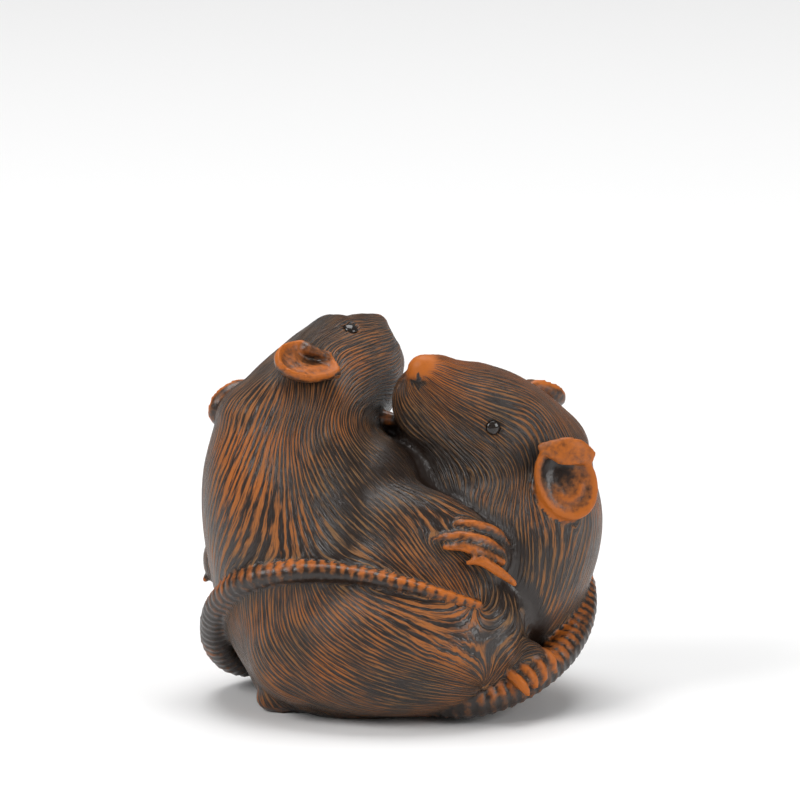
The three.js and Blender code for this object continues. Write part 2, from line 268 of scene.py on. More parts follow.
def trunk_sections(rat):
    hips, neck = np.array(HIPS), np.array(rat["neck"])
    return [
        ((-8.0, -2.0, 4.8), 8.6, 7.4, (-1, 0, -0.4)),
        (hips, 10.8, 8.8, LEFT),
        (hips + 0.4 * (neck - hips), 10.6, 9.5, LEFT),
        (hips + 0.72 * (neck - hips), 9.4, 8.9, LEFT),
        (neck, 6.8, 7.0, LEFT),
    ]


def arm_sections(rat):
    return [
        ((-8, -4.0, 20), 5.0, 4.8, FRONT), ((0, -7.3, 19.4), 4.4, 4.2, FRONT),
        ((4.5, -8.4, 18.4), 3.8, 3.4, FRONT), (rat["wrist"], 3.0, 3.0, FRONT),
    ]


masses = []
for rat in RATS.values():
    body = [
        drawn_out(trunk_sections(rat), segments=64, rings=60, domes=(0.8, 0.6)),
        drawn_out(head_sections(rat), segments=56, rings=56, domes=(0.8, 0.8)),
        drawn_out(arm_sections(rat), segments=40, rings=40),
        drawn_out(HAUNCH, segments=56, rings=44, domes=(0.9, 0.7)),
    ]
    body = joined(body + [egg(*flank) for flank in FLANKS], "body")
    one_skin(body, VOXEL["body"])
    fill_hollows(body, FILLET["passes"], FILLET["rounds"])
    lumps = [body, drawn_out(INSTEP, segments=24, rings=24)] + [egg(*seat) for seat in SEAT]
    for lump in lumps:
        set_points(lump, turned_about(get_points(lump), rat["turned"]))
    masses += lumps
bodies = joined(masses, "two_rats")
one_skin(bodies, VOXEL["both"])
smoothed(bodies, SOFTENED["both"])

# Digits: thin fingers and toes, thickest at the knuckle and bent over what they hold. The second rat
# lifts a forearm to the chins, with three fingers.
DIGIT = {"thick": 0.54, "sizes": (0.45, 0.95, 1.0, 0.6)}
BEND = ((0, 0), (0.35, 1), (0.7, 0.9), (1, 0))
TOES = {
    "count": 4, "thick": 0.55, "lift": (0.27, -0.27, 0.18),
    "start": (10.2, -11.6, 5.6), "start_step": (1.3, 0.85, 0.5),
    "end": (12.7, -12.2, 3.2), "end_step": (0.85, 1.15, 0.55),
}
LIFTED_HAND = {
    "count": 3, "thick": 0.7, "lift": (0, 0, 0.4),
    "start": (-1.5, -0.6, 27.2), "start_step": (-0.3, -0.6, -0.9),
    "end": (3.2, -0.4, 28.8), "end_step": (-0.5, -0.9, -1.1),
}
FOREARM = [((-7, 3.5, 20), 3.2, 3.2, UP), (LIFTED_HAND["start"], 1.9, 1.9, UP)]


def digit(places, thick):
    return [
        (np.array(at, float), thick * size, thick * size, UP)
        for at, size in zip(places, DIGIT["sizes"])
    ]


def row_of_digits(hand):
    """Digits side by side, each bent between its start and its end."""
    rows = []
    for i in range(hand["count"]):
        start = np.array(hand["start"]) + i * np.array(hand["start_step"])
        end = np.array(hand["end"]) + i * np.array(hand["end_step"])
        lift = np.array(hand["lift"])
        places = [start + share * (end - start) + lift * hump for share, hump in BEND]
        rows.append(digit(places, hand["thick"]))
    return rows


digits = []
for rat in RATS.values():
    rows = [digit(places, DIGIT["thick"]) for places in rat["digits"]] + row_of_digits(TOES)
    digits += [turned_sections(row, rat["turned"]) for row in rows]
second_turn = RATS["second"]["turned"]
digits += [turned_sections(row, second_turn) for row in row_of_digits(LIFTED_HAND)]
forearm = turned_sections(FOREARM, second_turn)

# Tails: round, ribbed all along and tapering to a point.
TAIL = {"thick": 2.05, "thin": 0.45, "taper": 1.3, "rib": 1.0, "pinch": 0.15, "back": (0.2, 0.1, 1)}
TAIL_STEPS = 600


def tail_sections(route):
    fine, _ = spine(route, np.linspace(0, 1, TAIL_STEPS))
    steps = np.r_[0, np.cumsum(np.linalg.norm(np.diff(fine, axis=0), axis=1))]
    ribs = round(steps[-1] / TAIL["rib"])
    rows = []
    for i in range(2 * ribs + 1):
        share = i / (2 * ribs)
        at = np.array([np.interp(share * steps[-1], steps, fine[:, axis]) for axis in range(3)])
        radius = TAIL["thick"] + (TAIL["thin"] - TAIL["thick"]) * share ** TAIL["taper"]
        radius *= 1 - TAIL["pinch"] * (i % 2)
        rows.append((at, radius, radius, TAIL["back"]))
    return rows


tails = [tail_sections(turned_about(rat["tail"], rat["turned"])) for rat in RATS.values()]

# Ears: a flat egg with a bowl inside a thin rolled rim. Three lie open with a straight lower edge, one is
# folded over at the top. Places in a bowl are shares of its half-length and half-width.
EAR = {"long": 3.6, "wide": 2.6, "rim": 0.85, "crest": 0.94, "floor": 0.74, "bowl": 0.7, "back": 1.0}
EAR |= {"well": (-0.35, 0.2), "well_size": (0.4, 0.3)}
FOLDED = {"long": 4.1, "wide": 3.1, "rim": 0.9, "crest": 0.93, "floor": 0.6, "bowl": 0.5, "back": 1.0}
FOLDED |= {"well": (-0.4, -0.1), "well_size": (0.32, 0.45)}
BOWL = {"ridge": 0.3, "well": 0.7, "tuck": 0.8, "flat_root": 0.12}
EAR_LEAN = {"face": (0.3, 0.5), "aside": 0.25}
LOBE = [((-0.9, 1.5, 0.4), 0.7, 0.6), ((-2.1, 0.1, 0.6), 0.35, 0.4)]
FLAP = [
    ((-4.3, -1.0, 0.6), 0.5, 0.35), ((-3.2, 0.6, 1.2), 1.4, 0.5),
    ((-2.3, 2.1, 1.2), 1.4, 0.5), ((-1.2, 3.3, 0.6), 0.8, 0.4),
]


def unit(way):
    return way / np.linalg.norm(way)


def ear_frame(rat, ear):
    base, _, axes = head_axes(rat["head"])
    seat = np.array(ear["seat"])
    outward = math.copysign(1, seat[1])
    ahead, above = EAR_LEAN["face"]
    face = unit(np.array((ahead, outward, above)) @ axes)
    along = np.array((-1, EAR_LEAN["aside"] * outward, ear["rise"])) @ axes
    along = unit(along - face * (along @ face))
    ear_axes = np.stack([along, np.cross(face, along), face])
    return turned_about(base + seat @ axes, rat["turned"]), turned_about(ear_axes, rat["turned"])


def step_between(value, low, high):
    share = np.clip((value - low) / (high - low), 0, 1)
    return share * share * (3 - 2 * share)


def ear_hollow(along, up, cut):
    """How deep the ear's bowl goes below its floor near the root, and how high its inner ridges stand."""
    out = np.hypot(along, up)
    (well_along, well_up), (well_long, well_high) = cut["well"], cut["well_size"]
    well = np.exp(-(((along - well_along) / well_long) ** 2) - ((up - well_up) / well_high) ** 2)
    if cut is FOLDED:
        ridge = np.exp(-(((out - 0.45) / 0.1) ** 2)) * step_between(along, 0.0, 0.4)
    else:
        ridge = step_between(-up, 0.1, 0.5) * step_between(out, 0.95, 0.6)
    return well, ridge


def made_ear(rat, ear):
    """A ball flattened, its front pressed into the bowl. The rim of an open ear sinks at its upper root, and
    its lower edge runs straight on to the cheek."""
    at, axes = ear_frame(rat, ear)
    cut = FOLDED if ear["folded"] else EAR
    bpy.ops.mesh.primitive_uv_sphere_add(segments=64, ring_count=64)
    piece = bpy.context.object
    shape = get_points(piece)
    along, up = shape[:, 0].copy(), -math.copysign(1, ear["seat"][1]) * shape[:, 1]
    out = np.hypot(along, up)
    over_crest = np.maximum(out - cut["crest"], 0) / (1 - cut["crest"])
    front = cut["rim"] * np.sqrt(np.clip(1 - over_crest**2, 0, 1))
    front -= cut["bowl"] * step_between(out, cut["crest"], cut["floor"])
    well, ridge = ear_hollow(along, up, cut)
    front += BOWL["ridge"] * ridge - BOWL["well"] * well
    if not ear["folded"]:
        front *= 1 - BOWL["tuck"] * step_between(-along, 0.1, 0.7) * step_between(up, 0.2, 0.6)
        straight = step_between(-along, 0.0, 0.6) * step_between(-up, -0.2, 0.2)
        square = 1 / np.sqrt(np.maximum(1 - along**2, BOWL["flat_root"]))
        shape[:, 1] *= 1 + straight * (square - 1)
        shape[:, 0] *= 1 - BOWL["flat_root"] * (along < 0)
    shape[:, 2] = np.where(shape[:, 2] > 0, front, cut["back"] * shape[:, 2])
    set_points(piece, at + shape * (cut["long"], cut["wide"], 1) @ axes)
    return piece


def ear_lobe(rat, ear):
    """The small lobe at an open ear's root, or the flap laid over the top of the folded one."""
    at, axes = ear_frame(rat, ear)
    side = 1 if ear["folded"] else -math.copysign(1, ear["seat"][1])
    rows = FLAP if ear["folded"] else LOBE
    return [
        (at + np.array(place) * (1, side, 1) @ axes, across, deep, axes[2])
        for place, across, deep in rows
    ]


lobes = [ear_lobe(rat, ear) for rat in RATS.values() for ear in rat["ears"]]
ears = [made_ear(rat, ear) for rat in RATS.values() for ear in rat["ears"]]

# All of it becomes one skin, cut off flat where it rests.
def without_crumbs(piece):
    """Loose crumbs that are left by joining are taken away, and the largest part stays."""
    name = piece.name
    bpy.ops.object.select_all(action="DESELECT")
    piece.select_set(True)
    bpy.context.view_layer.objects.active = piece
    bpy.ops.mesh.separate(type="LOOSE")
    *crumbs, whole = sorted(bpy.context.selected_objects, key=lambda part: len(part.data.vertices))
    for crumb in crumbs:
        bpy.data.objects.remove(crumb)
    whole.name = name
    return whole


details = [drawn_out(row, segments=16, rings=28) for row in digits]
for rat in RATS.values():
    details += [egg(turned_about(at, rat["turned"]), sizes) for at, sizes in rat["hand_back"]]
details.append(drawn_out(forearm, segments=24, rings=20))
details += [drawn_out(row, segments=20, rings=3 * len(row), cap=0.01) for row in tails]
details += [drawn_out(row, segments=20, rings=24) for row in lobes] + ears
carving = joined([bodies] + details, "two_rats")
bpy.ops.object.mode_set(mode="EDIT")
bpy.ops.mesh.select_all(action="SELECT")
bpy.ops.mesh.bisect(plane_co=(0, 0, 0), plane_no=(0, 0, 1), clear_inner=True, use_fill=True)
bpy.ops.object.mode_set(mode="OBJECT")
one_skin(carving, VOXEL["skin"])
carving = without_crumbs(carving)
smoothed(carving, SOFTENED["skin"])

# How far each point of the skin stands out of its surroundings, measured against a smoothed copy.
EDGE_ROUNDS, FULL_ROUNDS = 8, 60


def standing_out(rounds):
    bpy.ops.object.select_all(action="DESELECT")
    carving.select_set(True)
    bpy.context.view_layer.objects.active = carving
    bpy.ops.object.duplicate()
    copy = bpy.context.object
    smoothed(copy, rounds)
    out = np.sum((get_points(carving) - get_points(copy)) * get_normals(copy), axis=1)
    bpy.data.objects.remove(copy)
    return out


points, normals = get_points(carving), get_normals(carving)
count = len(points)
edge, fullness = standing_out(EDGE_ROUNDS), standing_out(FULL_ROUNDS)

# Where the wood is bare of hair: tails with their ribs, digits, ears and noses. A depth is 1 on the
# surface of a mass and grows outwards, so each skin is faded over a short stretch beyond it.
BARE = {"tail": (1.22, 1.1), "digit": (1.35, 1.15), "lobe": (1.3, 1.1), "nose": (2.6, 1.2)}
EAR_REACH = {"out": (1.16, 1.08), "middle": 0.4, "deep": (1.3, 1.1)}
EAR_RIM_WEAR_AND_WELL_SHADE = {"base": 0.3, "ridge": 0.4, "rim": 0.8, "well": -0.6, "flap": 0.62, "lobe": 0.15}
NOSE_TIP = 1.13
RIB_STATIONS, RIB_SHARP = 4, 5
DIGIT_STATIONS, LOBE_STATIONS = 16, 12


def nearest_station(sections, stations):
    """For every point of the skin: the station it is nearest to, and its depth in the mass there."""
    middle, heading, side, back, sizes = oval_frames(sections, np.linspace(0, 1, stations))
    best, at = np.full(count, np.inf), np.zeros(count, int)
    for i in range(stations):
        far = np.sum((points - middle[i]) ** 2, axis=1)
        at = np.where(far < best, i, at)
        best = np.minimum(far, best)
    away = points - middle[at]
    across = np.sum(away * side[at], axis=1) / sizes[at, 0]
    deep = np.sum(away * back[at], axis=1) / sizes[at, 1]
    ahead = np.sum(away * heading[at], axis=1) / np.min(sizes[at], axis=1)
    return at, np.sqrt(across**2 + deep**2 + ahead**2)


ribs, tail_skin = np.zeros(count), np.zeros(count)
for rows in tails:
    stations = RIB_STATIONS * len(rows)
    at, depth = nearest_station(rows, stations)
    on = step_between(depth, *BARE["tail"])
    groove = (0.5 - 0.5 * np.cos(np.pi * at / (stations - 1) * (len(rows) - 1))) ** RIB_SHARP
    ribs = np.where(on > tail_skin, groove, ribs)
    tail_skin = np.maximum(tail_skin, on)
digit_skin = np.zeros(count)
for row in digits:
    depth = nearest_station(row, DIGIT_STATIONS)[1]
    digit_skin = np.maximum(digit_skin, step_between(depth, *BARE["digit"]))
ear_skin, ear_rim_wear_and_well_shade = np.zeros(count), np.zeros(count)
for ear_of, ear in [(rat, ear) for rat in RATS.values() for ear in rat["ears"]]:
    at, axes = ear_frame(ear_of, ear)
    cut = FOLDED if ear["folded"] else EAR
    local = (points - at) @ axes.T / (cut["long"], cut["wide"], 1)
    up = -math.copysign(1, ear["seat"][1]) * local[:, 1]
    out = np.hypot(local[:, 0], up)
    inside = step_between(out, *EAR_REACH["out"])
    inside *= step_between(np.abs(local[:, 2] - EAR_REACH["middle"]), *EAR_REACH["deep"])
    well, ridge = ear_hollow(local[:, 0], up, cut)
    rim = step_between(out, 0.72, 0.9) * step_between(local[:, 2], 0.0, 0.5)
    # The rim and inner ridges of an ear are worn lighter; its well is darkened as painted shade.
    rim_wear_and_well_shade = EAR_RIM_WEAR_AND_WELL_SHADE["base"] + EAR_RIM_WEAR_AND_WELL_SHADE["ridge"] * ridge + EAR_RIM_WEAR_AND_WELL_SHADE["rim"] * rim + EAR_RIM_WEAR_AND_WELL_SHADE["well"] * well
    ear_skin = np.maximum(ear_skin, inside)
    ear_rim_wear_and_well_shade = np.maximum(ear_rim_wear_and_well_shade, inside * np.clip(rim_wear_and_well_shade, 0, 1))
for row in lobes:
    on = step_between(nearest_station(row, LOBE_STATIONS)[1], *BARE["lobe"])
    ear_skin = np.maximum(ear_skin, on)
    ear_rim_wear_and_well_shade = np.where(on > 0.5, EAR_RIM_WEAR_AND_WELL_SHADE["flap" if len(row) == len(FLAP) else "lobe"], ear_rim_wear_and_well_shade)
nose_skin = np.zeros(count)
for rat in RATS.values():
    base, length, axes = head_axes(rat["head"])
    tip = turned_about(base + axes[0] * NOSE_TIP * length, rat["turned"])
    on = step_between(np.linalg.norm(points - tip, axis=1), *BARE["nose"])
    nose_skin = np.maximum(nose_skin, rat["nose_pad"] * on)

# The nostrils: a small cross cut in the second rat's nose pad, its upright thinning at both ends.
CROSS = {"x": 1.8, "z": 33.4, "bar": 33.2, "thin": 0.14, "reach": 0.8, "deep": 0.12, "taper": 0.2}
aside, above = points[:, 0] - CROSS["x"], points[:, 2] - CROSS["z"]
upright = np.abs(aside) / CROSS["thin"] + CROSS["taper"] * np.abs(above)
bar = np.abs(points[:, 2] - CROSS["bar"]) / CROSS["thin"]
mark = step_between(np.minimum(upright, bar), 1.4, 0.7)
mark *= (np.hypot(aside, above) < CROSS["reach"]) * (normals[:, 1] < -0.3)
points -= normals * (CROSS["deep"] * mark)[:, None]

# Eye sockets: a round hole with a raised lid line, into which the bead is pushed.
EYE = {"radius": 0.72, "lid": 1.06, "hole": 0.35, "tilt": 0.25, "reach": 2.5}
LID = {"wide": 0.22, "high": 0.1}
HOLE_EDGE = (0.12, -0.08)


def eye_place(rat, outward):
    base, length, axes = head_axes(rat["head"])
    rows = np.array(HEAD)
    share, across, crown, jaw = (np.interp(rat["eye"]["share"], rows[:, 0], column) for column in rows.T)
    aside, above = math.cos(rat["eye"]["round"]) * outward, math.sin(rat["eye"]["round"])
    deep = (crown - jaw) / 2
    at = base + np.array((share * length, aside * across, (crown + jaw) / 2 + above * deep)) @ axes
    facing = (unit(np.array((0, aside / across, above / deep))) + (EYE["tilt"], 0, 0)) @ axes
    return turned_about(at, rat["turned"]), turned_about(unit(facing), rat["turned"])


eyes, raised = {}, np.zeros(count)
for name, rat in RATS.items():
    for side, outward in (("right", 1), ("left", -1)):
        at, facing = eye_place(rat, outward)
        near = np.linalg.norm(points - at, axis=1) < EYE["reach"]
        nearest = points[near][np.argmin(np.linalg.norm(points[near] - at, axis=1))]
        at = at + facing * ((nearest - at) @ facing)
        eyes[f"{name}_rat_{side}_eye"] = (at, facing)
        away = points - at
        off = np.linalg.norm(away - np.outer(away @ facing, facing), axis=1)
        hole = step_between(off, *(EYE["radius"] + past for past in HOLE_EDGE))
        lid = np.exp(-(((off - EYE["lid"]) / LID["wide"]) ** 2))
        raised += near * (LID["high"] * lid - EYE["hole"] * hole)
points += normals * raised[:, None]

# The hair: the way it lies is set for each mass, evened out over the skin, and laid out as two heights
# on the skin, one that grows across the hairs and one along them. The skin is parted between the rats,
# along the belly and on bare wood, so that the heights may jump there.
STRAND = {"short": 0.025, "wide": 0.42, "deep": 0.06, "lock": 1.5, "lock_deep": 0.05}
FOOT, FOOT_CURL = (8.0, -12.0, 4.6), -0.03
COAT_SPREAD, ARM_DROP = (1, 0.3, 1), (0, 0, 0.9)
STATIONS = {"mass": 40, "haunch": 30, "body": 80}
MASS_FADE, LIE_ROUNDS = 0.08, 60
BASE_FADE = (0.3, 0.9)
PARTED, HALF_TURN, RAT_APART = 0.001, 3, 17.0
GIRTH = 7.5
ALONG_ROUNDS, ACROSS_ROUNDS, EVEN_ROUNDS = 400, 700, 250
CLOSEST, WIDEST = 0.5, 2.0
ends = np.empty(2 * len(carving.data.edges), np.int32)
carving.data.edges.foreach_get("vertices", ends)
near_end, far_end = ends.reshape(-1, 2).T
neighbours = np.bincount(ends, minlength=count).astype(float)
across_edge = points[far_end] - points[near_end]


def egg_depth(at, half_sizes, turn):
    return np.linalg.norm((turned_about(points, -turn) - at) / half_sizes, axis=1)


def on_skin(ways):
    ways = ways - normals * np.sum(ways * normals, axis=1, keepdims=True)
    return ways / np.maximum(np.linalg.norm(ways, axis=1, keepdims=True), 1e-6)


def evened(values, rounds):
    """Each point takes half of its value from its neighbours, round by round."""
    for _ in range(rounds):
        total = np.empty_like(values)
        for column in range(values.shape[1]):
            total[:, column] = np.bincount(near_end, values[far_end, column], count)
            total[:, column] += np.bincount(far_end, values[near_end, column], count)
        values = 0.5 * values + 0.5 * total / neighbours[:, None]
    return values


def laid_out(slopes, firm, heights, rounds):
    """Heights on the skin whose slopes come as near as they can to the wanted ones."""
    def pull(rises):
        return np.bincount(far_end, rises * firm, count) - np.bincount(near_end, rises * firm, count)

    weight = np.bincount(near_end, firm, count) + np.bincount(far_end, firm, count)
    wanted = 0.5 * np.sum((slopes[near_end] + slopes[far_end]) * across_edge, axis=1)
    left = pull(wanted - heights[far_end] + heights[near_end])
    step = left / weight
    size = left @ step
    for _ in range(rounds):
        pulled = pull(step[far_end] - step[near_end])
        share = size / (step @ pulled)
        heights = heights + share * step
        left = left - share * pulled
        after = left @ (left / weight)
        step = left / weight + after / size * step
        size = after
    return heights


def mass_run(sections):
    """For every point of the skin: its depth in a mass, and the way the mass runs there."""
    at, depth = nearest_station(sections, STATIONS["mass"])
    return depth, oval_frames(sections, np.linspace(0, 1, STATIONS["mass"]))[1][at]


depths, ways, owners, angles = [], [], [], []
for rat in RATS.values():
    turn = rat["turned"]
    own = turned_about(points, -turn)
    head, trunk = head_sections(rat)[::-1], trunk_sections(rat)[::-1]
    head_depth, _ = mass_run(turned_sections(head, turn))
    head_way = np.tile(turned_about(-head_axes(rat["head"])[2][0], turn), (count, 1))
    trunk_depth, trunk_way = mass_run(turned_sections(trunk, turn))
    trunk_depth = np.min([trunk_depth] + [egg_depth(*flank, turn) for flank in FLANKS], axis=0)
    if rat["coat_root"]:
        trunk_way = turned_about((own - np.array(rat["coat_root"])) * COAT_SPREAD, turn)
    arm_depth, arm_way = mass_run(turned_sections(arm_sections(rat), turn))
    nose_to_rump = turned_sections(head + trunk[1:], turn)
    at, _ = nearest_station(nose_to_rump, STATIONS["body"])
    middle, _, side, back, _ = oval_frames(nose_to_rump, np.linspace(0, 1, STATIONS["body"]))
    away = points - middle[at]
    body_angle = np.arctan2(np.sum(away * side[at], axis=1), np.sum(away * back[at], axis=1))
    away = (own - np.array(FOOT)) * (1, 0, 1)
    haunch_angle = np.arctan2(away[:, 0], away[:, 2])
    far = np.hypot(away[:, 0], away[:, 2])[:, None]
    curling = np.stack([-away[:, 2], away[:, 1], away[:, 0]], axis=1) * FOOT_CURL
    haunch_way = turned_about(-away / far - curling, turn)
    haunch_depth = nearest_station(turned_sections(HAUNCH, turn), STATIONS["haunch"])[1]
    depths += [head_depth, trunk_depth, arm_depth, haunch_depth]
    ways += [head_way, trunk_way, arm_way - ARM_DROP, haunch_way]
    owners += [np.min([head_depth, trunk_depth, arm_depth], axis=0), haunch_depth]
    angles += [body_angle, haunch_angle]
owner = np.argmin(owners, axis=0)
rat_of = owner // 2
shares = np.exp(-(np.array(depths) - np.min(depths, axis=0)) / MASS_FADE)
lie = on_skin(sum(share[:, None] * on_skin(way) for share, way in zip(shares, ways)))
lie = on_skin(evened(lie, LIE_ROUNDS))
hairy = np.clip(1 - np.max([tail_skin, digit_skin, ear_skin, nose_skin], axis=0), 0, 1)
hairy *= step_between(points[:, 2], *BASE_FADE)
angle = np.choose(owner, angles)
parted = rat_of[near_end] != rat_of[far_end]
parted |= np.abs(angle[near_end] - angle[far_end]) > HALF_TURN
parted |= (hairy[near_end] < 0.5) | (hairy[far_end] < 0.5)
firm = np.where(parted, PARTED, 1.0)
along_hair = laid_out(lie, firm, np.zeros(count), ALONG_ROUNDS)
across = np.cross(normals, lie)
across_hair = laid_out(across, firm, GIRTH * angle, ACROSS_ROUNDS)
for _ in range(2):
    rises = (across_hair[far_end] - across_hair[near_end])[:, None] * across_edge
    slope = np.stack(
        [np.bincount(near_end, rise, count) + np.bincount(far_end, rise, count) for rise in rises.T],
        axis=1,
    )
    slope /= 2 * np.mean(np.sum(across_edge**2, axis=1))
    close = evened(np.clip(np.sum(slope * across, axis=1), CLOSEST, WIDEST)[:, None], 10)
    across_hair = laid_out(across * close, firm, across_hair, EVEN_ROUNDS)
strand = np.stack([across_hair, STRAND["short"] * along_hair, RAT_APART * rat_of], axis=1)

# The strands stand out as relief, and a crease runs where the rats meet.
TABLE = 64
rough_table = np.random.default_rng(11).uniform(-1, 1, (TABLE, TABLE, TABLE))
CREASE = {"wide": 0.08, "rounds": 16, "deep": 0.5}


def uneven(places):
    """Smooth random heights, one for each unit of length."""
    cell = np.floor(places).astype(int)
    share = places - cell
    share = share * share * (3 - 2 * share)
    total = np.zeros(len(places))
    for corner in product((0, 1), repeat=3):
        weight = np.prod(np.where(corner, share, 1 - share), axis=1)
        total += weight * rough_table[tuple(((cell + corner) % TABLE).T)]
    return total


first_depth, second_depth = np.min(owners[:2], axis=0), np.min(owners[2:], axis=0)
between = np.exp(-(((first_depth - second_depth) / CREASE["wide"]) ** 2)) * hairy * (1 - digit_skin)
between = evened(between[:, None], CREASE["rounds"])[:, 0]
relief = STRAND["deep"] * uneven(strand / STRAND["wide"])
relief += STRAND["lock_deep"] * uneven(strand / STRAND["lock"])
set_points(carving, points + normals * (relief * hairy - CREASE["deep"] * between)[:, None])

# Wear and painted shade: the stain is thin where the carving stands out and where it is held, and in
# patches. Where the skin sinks in it is darker: stain left in the hollows, and painted shade. A held place
# has its middle, its reach and how much more it is worn; the back is worn less.
HELD = [
    ((-15.0, -7.0, 24.5), 5.5, 0.28), ((-16.0, -8.0, 17.9), 4.0, -0.05), ((-6.0, -10.0, 24.4), 4.5, -0.1),
    ((-1.0, -16.0, 11.4), 5.0, 0.15), ((-10.0, -14.0, 12.0), 4.0, 0.15), ((5.0, -11.0, 12.0), 3.0, 0.2),
    ((5.0, -3.0, 33.7), 3.0, 0.15), ((11.0, -1.0, 32.0), 4.0, 0.1), ((-3.0, 3.0, 34.0), 3.0, 0.1),
    ((0.5, -6.5, 25.0), 3.5, -0.5), ((3.0, -10.0, 20.0), 3.0, 0.1),
]
HELD_SHARES = {0: 1.0, 180: 0.6}
COAT_WEAR_AND_SHADE = {"base": 0.3, "patches": 0.2, "full": 0.4, "edge": 1.2}
TAIL_WEAR_AND_LIGHT = {"base": 0.36, "top": 0.35, "patches": 0.3, "ribs": -0.4}
DIGIT_WEAR_AND_SHADE = {"base": 0.5, "edge": 4.0, "patches": 0.2}
EAR_WEAR_AND_SHADE = {"base": 0.36, "rim": 0.45, "patches": 0.25}
NOSE_WEAR, CREASE_STAIN_AND_SHADE, CROSS_WEAR = 0.3, -1.2, -0.7
DUST_DEPTH = (0.05, 0.16)
patches = 0.6 * uneven(points / 5.0) + 0.4 * uneven(points / 2.0)
held = np.zeros(count)
for turn, held_share in HELD_SHARES.items():
    for place, reach, amount in HELD:
        far = np.linalg.norm(points - turned_about(place, turn), axis=1) / reach
        held += amount * np.exp(-(far**2)) * held_share
# Painted light: tails are made lighter where they face up and a little to the front, towards the lamps.
facing_up = np.clip(normals @ (0, -0.3, 0.95), 0, 1)
wear_and_painted_light = COAT_WEAR_AND_SHADE["base"] + held + COAT_WEAR_AND_SHADE["patches"] * patches
# The coat is lighter on its fuller parts and edges and darker in its hollows: stain left in them, and
# painted shade.
wear_and_painted_light += COAT_WEAR_AND_SHADE["full"] * np.clip(fullness, -0.6, 0.4) + COAT_WEAR_AND_SHADE["edge"] * np.clip(edge, -0.2, 0.1)
tail_wear_and_light = TAIL_WEAR_AND_LIGHT["base"] + TAIL_WEAR_AND_LIGHT["top"] * facing_up
tail_wear_and_light += TAIL_WEAR_AND_LIGHT["patches"] * patches + TAIL_WEAR_AND_LIGHT["ribs"] * ribs
# Digits are lighter on their knuckles and edges and darker in the gaps between them: stain left in the gaps,
# and painted shade.
digit_wear_and_shade = DIGIT_WEAR_AND_SHADE["base"] + DIGIT_WEAR_AND_SHADE["edge"] * np.clip(edge, -0.15, 0.1)
digit_wear_and_shade += DIGIT_WEAR_AND_SHADE["patches"] * patches
ear_wear_and_shade = EAR_WEAR_AND_SHADE["base"] + EAR_WEAR_AND_SHADE["rim"] * ear_rim_wear_and_well_shade + EAR_WEAR_AND_SHADE["patches"] * patches
wear_and_painted_light = np.where(tail_skin > 0.5, tail_wear_and_light, wear_and_painted_light)
wear_and_painted_light = np.where(digit_skin > 0.5, digit_wear_and_shade, wear_and_painted_light)
wear_and_painted_light = np.where(ear_skin > 0.5, ear_wear_and_shade, wear_and_painted_light)
# The crease where the rats meet is darkened: stain left in it, and painted shade.
wear_and_painted_light += NOSE_WEAR * nose_skin + CREASE_STAIN_AND_SHADE * between + CROSS_WEAR * mark
wear_and_painted_light = np.clip(wear_and_painted_light, 0, 1)
crease = step_between(-edge, *DUST_DEPTH)
hairy *= 1 - np.clip(2 * between, 0, 1)


def keep_on_skin(name, kind, field, values):
    layer = carving.data.attributes.new(name, kind, "POINT")
    layer.data.foreach_set(field, np.asarray(values, np.float32).ravel())


keep_on_skin("strand", "FLOAT_VECTOR", "vector", strand)
keep_on_skin("hairy", "FLOAT", "value", hairy)
keep_on_skin("wear_and_painted_light", "FLOAT", "value", wear_and_painted_light)
keep_on_skin("crease", "FLOAT", "value", crease)
bpy.ops.object.select_all(action="DESELECT")
carving.select_set(True)
bpy.context.view_layer.objects.active = carving
bpy.ops.object.shade_smooth()
set_points(carving, get_points(carving) * MILLIMETRE)

# Stained wood: dark lines cut between lighter strands, worn through to orange. Lines and the mask of wear
# and painted light are set against each other, so that wear and painted light raise the share of each
# strand that is light wood, and painted shade lowers it.
DARK_STAIN = (0.016, 0.009, 0.006, 1)
TAN_WOOD = (0.2, 0.105, 0.046, 1)
ORANGE_WOOD = (0.42, 0.115, 0.017, 1)
PALE_DUST = (0.36, 0.32, 0.26, 1)
LINES = {"close": 27.0, "cut": 0.12, "sway": 9.0, "sway_scale": 2.5, "hair_scale": 16.0, "lock_scale": 3.0}
LOCK_TONE = 0.1
BARE_GRAIN, BARE_TONES = 1700, (0.44, 0.56)
LIGHT_WOOD_LEVEL, LIGHT_WOOD_EDGE = (0.7, 0.34), 0.1
ORANGE_FROM, ORANGE_TO = 0.25, 0.65
DUST_GRAIN, DUST_MOST = 900, 0.7
ROUGHNESS, SPECULAR = (0.3, 0.45), (0.5, 0.2)
BUMP = {"Strength": 0.8, "Distance": 0.0003}
wood = bpy.data.materials.new("stained_wood")
wood.use_nodes = True
tree = wood.node_tree
shader = tree.nodes["Principled BSDF"]


def add_node(tree, kind, inputs, **settings):
    node = tree.nodes.new(kind)
    for key, value in settings.items():
        setattr(node, key, value)
    for name, source in inputs.items():
        if isinstance(source, bpy.types.NodeSocket):
            tree.links.new(source, node.inputs[name])
        else:
            node.inputs[name].default_value = source
    return node


def math_node(tree, operation, *values):
    return add_node(tree, "ShaderNodeMath", dict(enumerate(values)), operation=operation).outputs[0]


def attribute(tree, name):
    return add_node(tree, "ShaderNodeAttribute", {}, attribute_name=name)


def blend(tree, factor, first, second):
    """The colour between two colours."""
    node = add_node(tree, "ShaderNodeMix", {"Factor": factor}, data_type="RGBA")
    sockets = {socket.identifier: socket for socket in node.inputs}
    for key, source in (("A_Color", first), ("B_Color", second)):
        if isinstance(source, bpy.types.NodeSocket):
            tree.links.new(source, sockets[key])
        else:
            sockets[key].default_value = source
    return next(socket for socket in node.outputs if socket.identifier == "Result_Color")


